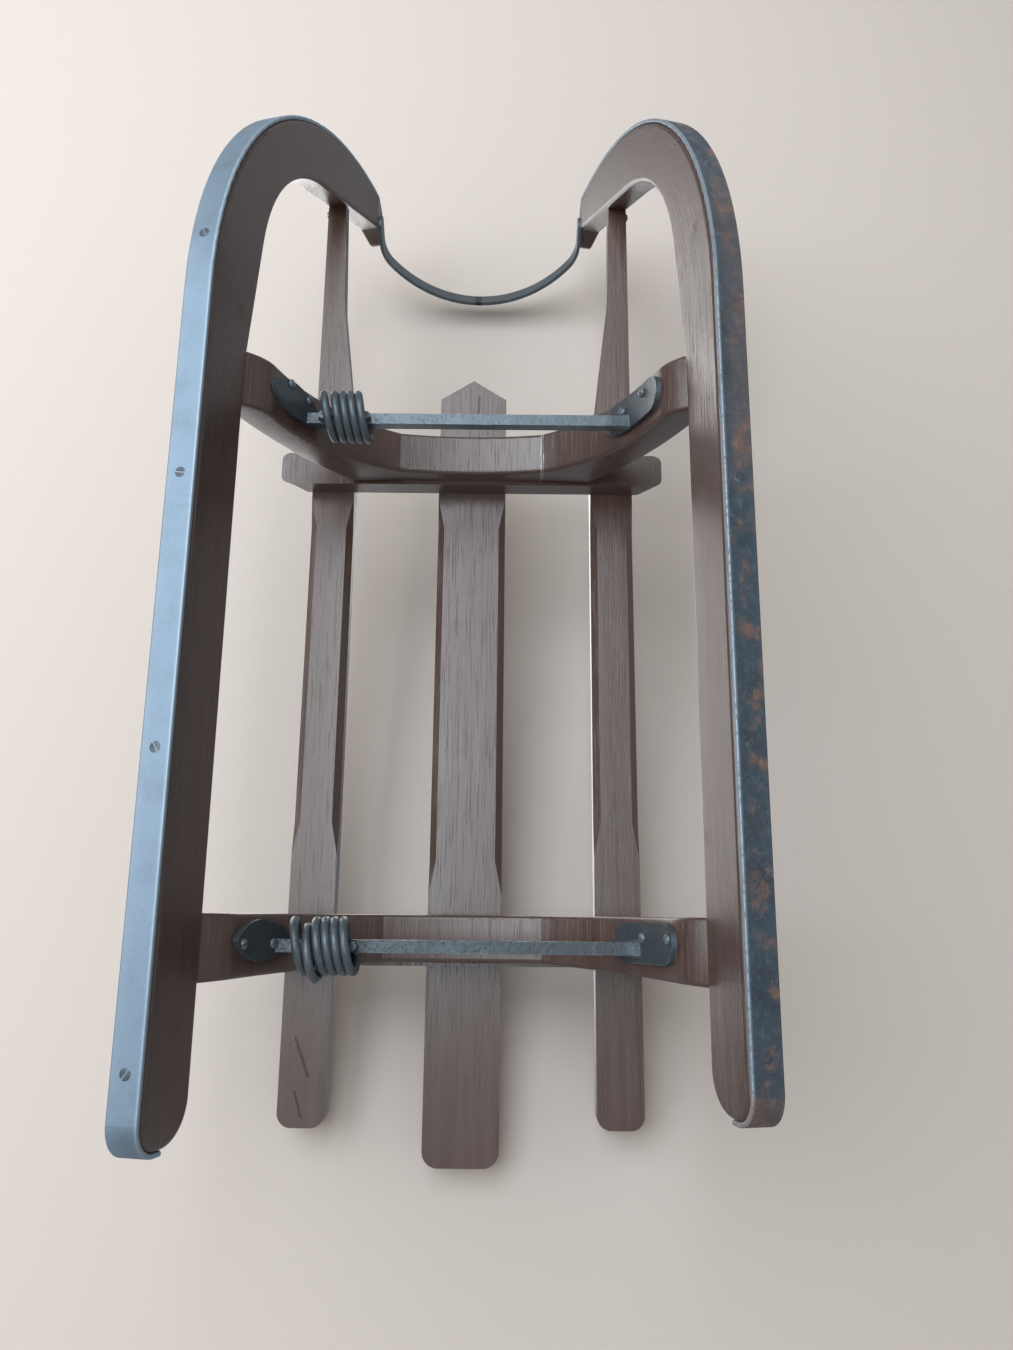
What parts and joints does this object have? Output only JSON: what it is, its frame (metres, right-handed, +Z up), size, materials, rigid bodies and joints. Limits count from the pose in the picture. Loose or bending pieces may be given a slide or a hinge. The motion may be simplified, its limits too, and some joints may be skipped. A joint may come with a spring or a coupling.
{
  "type": "wooden sled",
  "caption": "Wooden sled with bent-up runners, arched legs braced by sprung tie rods, slatted seat and a steel bow between the horns.",
  "frame": {"origin": "on the ground, under the middle of the bounding box", "axes": "+X forward, towards the horns; +Y to the sled's left; +Z up"},
  "size_m": [0.828, 0.352, 0.3333],
  "materials": {
    "painted_wood": "worn red-brown satin paint",
    "runner_steel": "worn and rusted flat steel",
    "painted_ironwork": "worn dark paint with rust",
    "spring_steel": "rusted spring wire"
  },
  "bodies": {
    "root": {"runner_left": "painted_wood", "runner_right": "painted_wood", "centre_slat": "painted_wood", "side_slat_left": "painted_wood", "side_slat_right": "painted_wood", "front_bolster": "painted_wood", "rear_bolster": "painted_wood", "front_leg_left": "painted_wood", "front_leg_right": "painted_wood", "front_arch_middle": "painted_wood", "rear_leg_left": "painted_wood", "rear_leg_right": "painted_wood", "rear_arch_middle": "painted_wood", "strip_left": "runner_steel", "strip_right": "runner_steel", "bow": "painted_ironwork", "front_spring_plate": "painted_ironwork", "rear_spring_plate": "painted_ironwork", "front_tie_rod": "painted_ironwork", "rear_tie_rod": "painted_ironwork", "front_spring": "spring_steel", "rear_spring": "spring_steel"}
  },
  "joints": []
}
